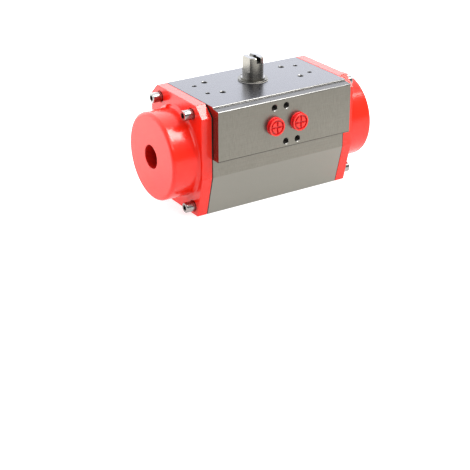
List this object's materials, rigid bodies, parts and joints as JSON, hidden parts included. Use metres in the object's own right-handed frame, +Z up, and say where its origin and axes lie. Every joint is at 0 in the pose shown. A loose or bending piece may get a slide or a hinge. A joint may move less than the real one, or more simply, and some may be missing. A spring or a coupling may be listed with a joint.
{
  "type": "rotary pneumatic actuator",
  "caption": "Spring-return rack-and-pinion quarter-turn pneumatic actuator: square aluminium body, red spring caps, slotted drive stub, side air ports with plugs.",
  "frame": {"origin": "shaft axis in the bottom mounting face", "axes": "+X along the cylinder to the right end cap, -Y out of the port face, +Z up along the shaft to the drive stub"},
  "size_m": [0.2054, 0.0987, 0.1205],
  "materials": {
    "anodised_aluminium": "extruded, brushed and clear anodised, satin",
    "cast_aluminium": "die cast, turned on the running faces",
    "red_enamel": "glossy red powder coat on die-cast aluminium",
    "red_plastic": "moulded red polyethylene, satin",
    "stainless_steel": "bright stainless steel",
    "plated_steel": "turned steel, nickel plated",
    "spring_steel": "shot-peened spring steel, dark dip coat",
    "seal_rubber": "black nitrile rubber",
    "acetal": "natural acetal, turned"
  },
  "bodies": {
    "housing": {"housing": "anodised_aluminium", "left_end_cap": "red_enamel", "right_end_cap": "red_enamel", "left_cap_gasket": "seal_rubber", "right_cap_gasket": "seal_rubber", "left_cap_screws": "stainless_steel", "right_cap_screws": "stainless_steel", "upper_shaft_bush": "acetal", "lower_shaft_bush": "acetal", "inner_thrust_washer": "acetal", "outer_thrust_washer": "acetal", "left_outer_spring": "spring_steel", "left_inner_spring": "spring_steel", "right_outer_spring": "spring_steel", "right_inner_spring": "spring_steel"},
    "drive_shaft": {"pinion_shaft": "plated_steel", "upper_shaft_oring": "seal_rubber", "lower_shaft_oring": "seal_rubber", "steel_thrust_washer": "plated_steel", "retaining_ring": "plated_steel"},
    "left_piston_body": {"left_piston": "cast_aluminium", "left_piston_oring": "seal_rubber", "left_guide_band": "acetal", "left_guide_pad": "acetal", "left_spring_seat": "acetal"},
    "right_piston_body": {"right_piston": "cast_aluminium", "right_piston_oring": "seal_rubber", "right_guide_band": "acetal", "right_guide_pad": "acetal", "right_spring_seat": "acetal"},
    "left_plug": {"left_port_plug": "red_plastic"},
    "right_plug": {"right_port_plug": "red_plastic"}
  },
  "joints": [
    {"name": "pinion_turn", "type": "hinge", "parent": "housing", "child": "drive_shaft", "pos_m": [0, 0, 0], "axis": [0, 0, 1], "range_deg": [0, 90]},
    {"name": "left_piston_slide", "type": "slide", "parent": "housing", "child": "left_piston_body", "axis": [-1, 0, 0], "range_m": [0, 0.0212], "stiffness_N_per_m": 8000, "springref_m": -0.01, "deforming": ["left_outer_spring", "left_inner_spring"]},
    {"name": "right_piston_slide", "type": "slide", "parent": "housing", "child": "right_piston_body", "axis": [1, 0, 0], "range_m": [0, 0.0212], "deforming": ["right_outer_spring", "right_inner_spring"]},
    {"name": "left_plug_pull", "type": "slide", "parent": "housing", "child": "left_plug", "axis": [0, -1, 0], "range_m": [0, 0.03]},
    {"name": "right_plug_pull", "type": "slide", "parent": "housing", "child": "right_plug", "axis": [0, -1, 0], "range_m": [0, 0.03]}
  ],
  "couplings": [
    {"joint": "pinion_turn", "follows": "left_piston_slide", "rad_per_m": 74.074},
    {"joint": "right_piston_slide", "follows": "left_piston_slide", "ratio": 1}
  ]
}
